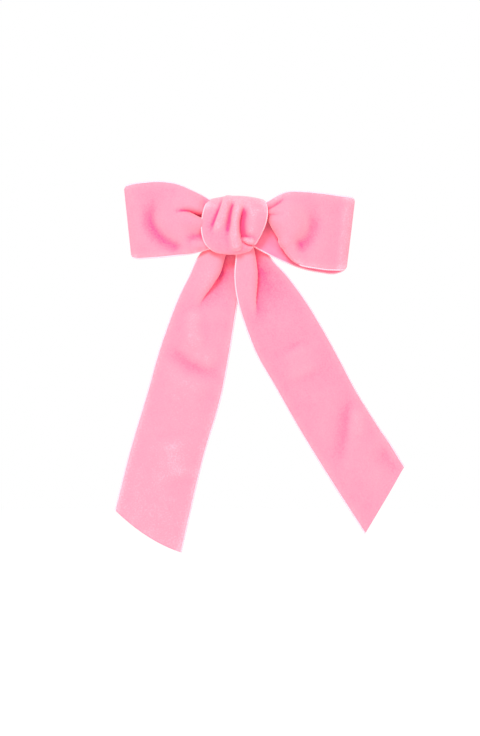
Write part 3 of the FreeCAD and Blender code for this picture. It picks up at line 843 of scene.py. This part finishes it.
def lashing(low, high, sides=10, steps=96):
    """Rings of thread that fit a box from low to high, both (y, z) in mm, as one mesh."""
    vertices, faces, uvs = [], [], []
    middle_y, middle_z = (low[0] + high[0]) / 2, (low[1] + high[1]) / 2
    half_y, half_z = (high[0] - low[0]) / 2 - THREAD_RADIUS, (high[1] - low[1]) / 2 - THREAD_RADIUS
    angle = np.linspace(0, 2 * np.pi, steps, endpoint=False)
    power = 2 / SQUARENESS
    y = middle_y + half_y * np.sign(np.cos(angle)) * np.abs(np.cos(angle)) ** power
    z = middle_z + half_z * np.sign(np.sin(angle)) * np.abs(np.sin(angle)) ** power
    side = np.array([1.0, 0.0, 0.0])
    for turn in range(LASHING_TURNS):
        x = (turn - (LASHING_TURNS - 1) / 2) * LASHING_PITCH
        path = np.stack([np.full(steps, x), y, z], axis=1)
        ahead = np.roll(path, -1, axis=0) - np.roll(path, 1, axis=0)
        ahead /= np.linalg.norm(ahead, axis=1, keepdims=True)
        up = np.cross(ahead, side)
        run = arc_lengths(path)
        first = len(vertices)
        for i in range(steps):
            for k in range(sides):
                a = 2 * np.pi * k / sides
                vertices.append(path[i] + THREAD_RADIUS * (np.cos(a) * side + np.sin(a) * up[i]))
                uvs.append((k / sides * THREAD_AROUND_MM * MM, run[i] * MM))
                j, m = (i + 1) % steps, (k + 1) % sides
                faces.append([first + i * sides + k, first + j * sides + k,
                              first + j * sides + m, first + i * sides + m])
    return make_object("lashing_thread_turns", vertices, faces, [thread], None, uvs)


low, high = (np.array(corner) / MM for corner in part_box("lashing_thread"))
turns = lashing(low[1:], high[1:])
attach(turns, "clip")
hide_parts("lashing_thread")
print("lashing, mm:", low.round(2), high.round(2))

# %% [markdown]
# ## The clip's metal
# The clip is stamped from steel and nickel plated. Nickel is a warm pale grey metal. The strip was
# rolled before it was stamped, which leaves faint lines along its length. They are really finer
# than 0.1 mm, and are drawn at 0.35 mm so that they show. Handling leaves smudges of uneven gloss
# about 7 mm wide. The catch and the tension bow are spring steel, slightly darker and smoother.

# %% Nickel-plated steel
ROLLED_MM = 0.35
SMUDGE_MM = 7.0


def make_plated(name, pale, dark, roughness):
    material, tree = new_material(name)
    place = add(tree, "TexCoord").outputs["Object"]
    drawn_out = add(tree, "Mapping", {"Vector": place, "Scale": (0.04, 1.0, 1.0)}).outputs[0]
    lines = add(tree, "TexNoise", {"Vector": drawn_out, "Scale": per_metre(ROLLED_MM), "Detail": 2.0})
    smudge = add(tree, "TexNoise", {"Vector": place, "Scale": per_metre(SMUDGE_MM), "Detail": 4.0})
    colour = add(tree, "ValToRGB", {"Fac": smudge.outputs["Fac"]}, [(0.3, dark), (0.7, pale)])
    rough = add(tree, "MapRange", {"Value": smudge.outputs["Fac"], "To Min": roughness - 0.07,
                                   "To Max": roughness + 0.09})
    rolled = add(tree, "Bump", {"Height": lines.outputs["Fac"], "Strength": 0.25,
                                "Distance": 0.02 * MM})
    shader = add(tree, "BsdfPrincipled", {
        "Base Color": colour.outputs["Color"], "Roughness": rough.outputs[0],
        "Normal": rolled.outputs[0], "Metallic": 1.0})
    add(tree, "OutputMaterial", {"Surface": shader.outputs[0]})
    return material


nickel = make_plated("nickel_plated_steel", "c8c3b9", "aeaaa1", 0.26)
spring = make_plated("nickel_plated_spring_steel", "b9b7b2", "9f9d99", 0.22)
print("metals:", nickel.name, spring.name)

# %% [markdown]
# ## The lining
# A strip of grosgrain ribbon is glued to the front of the clip's plate, so that the thread has
# something to grip. Grosgrain is woven with thick threads across it, 0.8 mm apart, which the eye
# sees as ribs with a soft shadow between them.

# %% Grosgrain
GROSGRAIN_RIB_MM = 0.8


def make_grosgrain():
    material, tree = new_material("grosgrain_lining")
    place = add(tree, "TexCoord").outputs["Object"]
    ribs = add(tree, "TexWave", {"Vector": place, "Scale": per_wave(GROSGRAIN_RIB_MM),
                                 "Distortion": 0.5}, bands_direction="X")
    weave = add(tree, "TexNoise", {"Vector": place, "Scale": per_metre(0.5), "Detail": 2.0})
    both = add(tree, "Math", {0: ribs.outputs["Fac"], 1: weave.outputs["Fac"]},
               operation="MULTIPLY")
    colour = add(tree, "ValToRGB", {"Fac": both.outputs[0]}, [(0.05, "c8506f"), (0.5, "e47a95")])
    rough = add(tree, "MapRange", {"Value": weave.outputs["Fac"], "To Min": 0.7, "To Max": 0.9})
    cords = add(tree, "Bump", {"Height": ribs.outputs["Fac"], "Strength": 0.7,
                               "Distance": 0.15 * MM})
    shader = add(tree, "BsdfPrincipled", {
        "Base Color": colour.outputs["Color"], "Roughness": rough.outputs[0],
        "Normal": cords.outputs[0], "Sheen Weight": 0.2})
    add(tree, "OutputMaterial", {"Surface": shader.outputs[0]})
    return material


grosgrain = make_grosgrain()
print("lining:", grosgrain.name)

# %% [markdown]
# ## Finishing the CAD parts
# The metal parts and the lining keep the exact shapes of the CAD model, because they were made to
# fit and to turn there. Only the material in each of their slots is changed.

# %% CAD finishes
node_finish = {
    "clip_plate": nickel, "hinge_pin": nickel, "clasp_arm": nickel, "catch_rivet": nickel,
    "tension_bow": spring, "catch_base": spring, "catch_wing_upper": spring,
    "catch_wing_lower": spring, "plate_lining": grosgrain,
}
for node, finish in node_finish.items():
    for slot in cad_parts[node].material_slots:
        slot.material = finish
print("finished CAD nodes:", len(node_finish))

# %% [markdown]
# ## The studio
# The bow hangs upright above a wide flat sheet of white paper, in a white room. The paper lies well
# below it, so its shadow falls far from the ribbon. Paper is matt, with a faint cloudy grain. A
# curved backdrop would do as well, but a flat sheet looks right from every side: paper and room
# come out the same pure white, so no line shows where the paper ends.

# %% Paper and room
FLOOR_BELOW = 0.42
FLOOR_RADIUS = 6.0
PAPER_GRAIN_MM = 40.0


def make_backdrop():
    material, tree = new_material("studio_paper_white")
    place = add(tree, "TexCoord").outputs["Object"]
    grain = add(tree, "TexNoise", {"Vector": place, "Scale": per_metre(PAPER_GRAIN_MM), "Detail": 4.0})
    colour = add(tree, "ValToRGB", {"Fac": grain.outputs["Fac"]}, [(0.3, "fdfdfd"), (0.7, "ffffff")])
    shader = add(tree, "BsdfPrincipled", {
        "Base Color": colour.outputs["Color"], "Roughness": 0.95, "Specular IOR Level": 0.1})
    add(tree, "OutputMaterial", {"Surface": shader.outputs[0]})
    return material


def make_floor(rings=12, spokes=64):
    """A round sheet of paper, far wider than any view of it. Sizes in metres."""
    vertices, faces = [(0, 0, -FLOOR_BELOW)], []
    for i in range(1, rings + 1):
        r = FLOOR_RADIUS * i / rings
        for k in range(spokes):
            a = 2 * math.pi * k / spokes
            vertices.append((r * math.cos(a), r * math.sin(a), -FLOOR_BELOW))
    for k in range(spokes):
        m = (k + 1) % spokes
        faces.append([0, 1 + k, 1 + m])
        for i in range(rings - 1):
            near, far = 1 + i * spokes, 1 + (i + 1) * spokes
            faces.append([near + k, far + k, far + m, near + m])
    return make_object("studio_floor", np.array(vertices) / MM, faces, [make_backdrop()])


floor = make_floor()
world = bpy.data.worlds.new("studio_air")
bpy.context.scene.world = world
world.use_nodes = True
background = world.node_tree.nodes["Background"]
background.inputs["Color"].default_value = linear("ffffff")
background.inputs["Strength"].default_value = 1.0
print("paper, m across:", 2 * FLOOR_RADIUS)

# %% [markdown]
# ## Soft lights
# The white room lights every side evenly. One strong softbox high on the left shapes the folds. A
# weak one from below keeps the tails from darkening, a weak one on the right does the same for the
# far loop, and one behind lights the clip. Each is a large disc, so its shadows have soft edges.

# %% Lights
def softbox(name, place, target, size, watts):
    lamp = bpy.data.lights.new(name, "AREA")
    lamp.shape = "DISK"
    lamp.size = size
    lamp.energy = watts
    holder = bpy.data.objects.new(name, lamp)
    bpy.context.scene.collection.objects.link(holder)
    holder.location = place
    aim = Vector(target) - Vector(place)
    holder.rotation_euler = aim.to_track_quat("-Z", "Y").to_euler()
    print(name, round(aim.length, 2), "m away,", watts, "W")


bow_middle = (0.0, -0.015, -0.05)
tails_middle = (0.0, -0.01, -0.12)
softbox("key_softbox", (-0.50, -1.60, 1.30), bow_middle, 0.65, 52.0)
softbox("low_softbox", (-0.25, -0.90, -0.60), tails_middle, 0.6, 6.0)
softbox("fill_softbox", (0.9, -0.9, 0.1), bow_middle, 0.8, 3.0)
softbox("back_softbox", (0.5, 0.9, 0.5), bow_middle, 0.8, 1.5)

# %% [markdown]
# ## The camera
# The camera looks straight at the bow through a long lens from 1.6 m, which keeps its outline free
# of perspective. The lens length follows from how much height the view has to show there.

# %% Camera
CAMERA_AWAY = 1.6
VIEW_HEIGHT = 0.3805
VIEW_MIDDLE_X = 2.6
VIEW_MIDDLE_Z = -74.4
BOW_FRONT_Y = -18.0
SENSOR = 36.0

camera_data = bpy.data.cameras.new("long_lens")
camera_data.sensor_fit = "VERTICAL"
camera_data.sensor_height = SENSOR
camera_data.lens = SENSOR * CAMERA_AWAY / VIEW_HEIGHT
camera_data.clip_end = 100.0
camera = bpy.data.objects.new("camera", camera_data)
bpy.context.scene.collection.objects.link(camera)
camera.location = (VIEW_MIDDLE_X * MM, BOW_FRONT_Y * MM - CAMERA_AWAY, VIEW_MIDDLE_Z * MM)
camera.rotation_euler = (math.pi / 2, 0, 0)
bpy.context.scene.camera = camera
bpy.context.scene.view_settings.view_transform = "Standard"
print("lens, mm:", round(camera_data.lens, 1))
